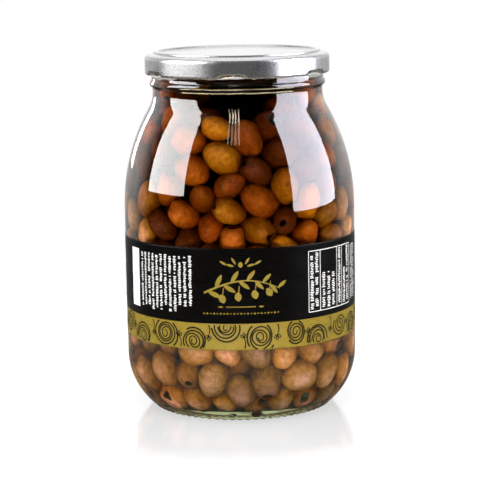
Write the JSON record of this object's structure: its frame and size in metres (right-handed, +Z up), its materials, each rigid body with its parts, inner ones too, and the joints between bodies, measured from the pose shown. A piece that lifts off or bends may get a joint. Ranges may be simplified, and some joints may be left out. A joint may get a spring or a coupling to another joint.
{
  "type": "jar of olives",
  "caption": "Round glass jar of pitted olives in oil with a silver twist-off cap and a black paper label with a gold band",
  "frame": {"origin": "centre of the foot ring on the jar's axis, in the plane the jar stands on", "axes": "+Z up along the jar's axis, -Y towards the middle of the label's front, +X to the label's right"},
  "size_m": [0.1062, 0.1061, 0.1638],
  "materials": {
    "glass": "clear flint glass, polished",
    "cap_metal": "silver lacquered tinplate, satin",
    "label_paper": "black satin coated paper with an olive-gold band",
    "olives_in_oil": "brown olives in dark oil, glossy"
  },
  "bodies": {
    "root": {"jar": "glass", "lid": "cap_metal", "label": "label_paper", "olives_in_oil": "olives_in_oil"}
  },
  "joints": []
}
